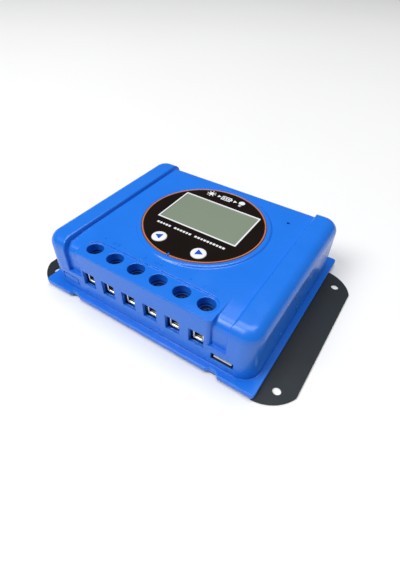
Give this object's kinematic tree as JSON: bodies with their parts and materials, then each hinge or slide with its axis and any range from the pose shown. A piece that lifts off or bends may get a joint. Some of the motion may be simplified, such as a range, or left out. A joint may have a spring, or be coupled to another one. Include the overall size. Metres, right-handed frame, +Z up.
{
  "type": "charge controller",
  "caption": "Blue box-shaped solar charge controller on a black base plate with ears, with a round display panel, push buttons, front screw terminals and a USB port.",
  "frame": {"origin": "on the underside of the base plate, midway between the front and rear mounting holes and in the middle of the cover's width", "axes": "+Z up from the mounting surface to the display, -Y out of the front with the cable terminals, +X along the length towards the USB port"},
  "size_m": [0.1808, 0.1254, 0.0397],
  "materials": {
    "black_powder_coat": "fine satin powder coat",
    "blue_abs": "satin-gloss moulded ABS",
    "black_gloss_panel": "gloss printed panel",
    "orange_trim": "satin trim ring",
    "white_plastic": "satin moulded plastic",
    "lcd_grey_green": "matt polarised display film",
    "circuit_board": "solder mask",
    "grey_rubber": "matt silicone",
    "black_plastic": "moulded epoxy",
    "dark_blue_plastic": "moulded polyamide",
    "steel": "zinc plated",
    "aluminium": "extruded, brushed",
    "brass": "dull nickel-tinted brass",
    "copper": "tinned copper",
    "capacitor_sleeve": "shrink sleeve",
    "fuse_plastic": "translucent amber plastic"
  },
  "bodies": {
    "controller": {"base_plate": "black_powder_coat", "top_cover": "blue_abs", "face_plate": "black_gloss_panel", "rim_ring": "orange_trim", "lcd_frame": "white_plastic", "lcd_glass": "lcd_grey_green", "display_board": "circuit_board", "tact_switch_left": "black_plastic", "tact_switch_right": "black_plastic", "terminal_block": "dark_blue_plastic", "busbar_1": "copper", "busbar_2": "copper", "busbar_3": "copper", "busbar_4": "copper", "busbar_5": "copper", "busbar_6": "copper", "usb_shell": "steel", "usb_tongue": "white_plastic", "main_board": "circuit_board", "board_header": "black_plastic", "microcontroller": "black_plastic", "status_led": "black_plastic", "heat_spreader": "aluminium", "thermal_pad": "grey_rubber", "mosfet_1": "black_plastic", "mosfet_2": "black_plastic", "mosfet_3": "black_plastic", "mosfet_4": "black_plastic", "capacitor_1": "capacitor_sleeve", "capacitor_2": "capacitor_sleeve", "capacitor_3": "capacitor_sleeve", "fuse_1": "fuse_plastic", "fuse_2": "fuse_plastic", "board_screw_1": "steel", "board_screw_2": "steel", "board_screw_3": "steel", "board_screw_4": "steel", "case_screw_1": "steel", "case_screw_2": "steel", "case_screw_3": "steel", "case_screw_4": "steel"},
    "button_left_body": {"button_left": "white_plastic", "switch_plunger_left": "grey_rubber"},
    "button_right_body": {"button_right": "white_plastic", "switch_plunger_right": "grey_rubber"},
    "screw_1": {"terminal_screw_1": "steel"},
    "cage_1": {"terminal_cage_1": "brass"},
    "screw_2": {"terminal_screw_2": "steel"},
    "cage_2": {"terminal_cage_2": "brass"},
    "screw_3": {"terminal_screw_3": "steel"},
    "cage_3": {"terminal_cage_3": "brass"},
    "screw_4": {"terminal_screw_4": "steel"},
    "cage_4": {"terminal_cage_4": "brass"},
    "screw_5": {"terminal_screw_5": "steel"},
    "cage_5": {"terminal_cage_5": "brass"},
    "screw_6": {"terminal_screw_6": "steel"},
    "cage_6": {"terminal_cage_6": "brass"}
  },
  "joints": [
    {"name": "button_left_press", "type": "slide", "parent": "controller", "child": "button_left_body", "axis": [0, 0, -1], "range_m": [0, 0.0005], "stiffness_N_per_m": 800},
    {"name": "button_right_press", "type": "slide", "parent": "controller", "child": "button_right_body", "axis": [0, 0, -1], "range_m": [0, 0.0005], "stiffness_N_per_m": 800},
    {"name": "terminal_screw_1_turn", "type": "hinge", "parent": "controller", "child": "screw_1", "pos_m": [-0.03776, -0.0428, 0.029], "axis": [0, 0, 1], "range_deg": [-2009, 0]},
    {"name": "terminal_cage_1_rise", "type": "slide", "parent": "controller", "child": "cage_1", "axis": [0, 0, 1], "range_m": [0, 0.0039]},
    {"name": "terminal_screw_2_turn", "type": "hinge", "parent": "controller", "child": "screw_2", "pos_m": [-0.02276, -0.0428, 0.029], "axis": [0, 0, 1], "range_deg": [-2009, 0]},
    {"name": "terminal_cage_2_rise", "type": "slide", "parent": "controller", "child": "cage_2", "axis": [0, 0, 1], "range_m": [0, 0.0039]},
    {"name": "terminal_screw_3_turn", "type": "hinge", "parent": "controller", "child": "screw_3", "pos_m": [-0.00776, -0.0428, 0.029], "axis": [0, 0, 1], "range_deg": [-2009, 0]},
    {"name": "terminal_cage_3_rise", "type": "slide", "parent": "controller", "child": "cage_3", "axis": [0, 0, 1], "range_m": [0, 0.0039]},
    {"name": "terminal_screw_4_turn", "type": "hinge", "parent": "controller", "child": "screw_4", "pos_m": [0.00724, -0.0428, 0.029], "axis": [0, 0, 1], "range_deg": [-2009, 0]},
    {"name": "terminal_cage_4_rise", "type": "slide", "parent": "controller", "child": "cage_4", "axis": [0, 0, 1], "range_m": [0, 0.0039]},
    {"name": "terminal_screw_5_turn", "type": "hinge", "parent": "controller", "child": "screw_5", "pos_m": [0.02224, -0.0428, 0.029], "axis": [0, 0, 1], "range_deg": [-2009, 0]},
    {"name": "terminal_cage_5_rise", "type": "slide", "parent": "controller", "child": "cage_5", "axis": [0, 0, 1], "range_m": [0, 0.0039]},
    {"name": "terminal_screw_6_turn", "type": "hinge", "parent": "controller", "child": "screw_6", "pos_m": [0.03724, -0.0428, 0.029], "axis": [0, 0, 1], "range_deg": [-2009, 0]},
    {"name": "terminal_cage_6_rise", "type": "slide", "parent": "controller", "child": "cage_6", "axis": [0, 0, 1], "range_m": [0, 0.0039]}
  ],
  "couplings": [
    {"joint": "terminal_screw_1_turn", "follows": "terminal_cage_1_rise", "rad_per_m": -8976},
    {"joint": "terminal_screw_2_turn", "follows": "terminal_cage_2_rise", "rad_per_m": -8976},
    {"joint": "terminal_screw_3_turn", "follows": "terminal_cage_3_rise", "rad_per_m": -8976},
    {"joint": "terminal_screw_4_turn", "follows": "terminal_cage_4_rise", "rad_per_m": -8976},
    {"joint": "terminal_screw_5_turn", "follows": "terminal_cage_5_rise", "rad_per_m": -8976},
    {"joint": "terminal_screw_6_turn", "follows": "terminal_cage_6_rise", "rad_per_m": -8976}
  ]
}
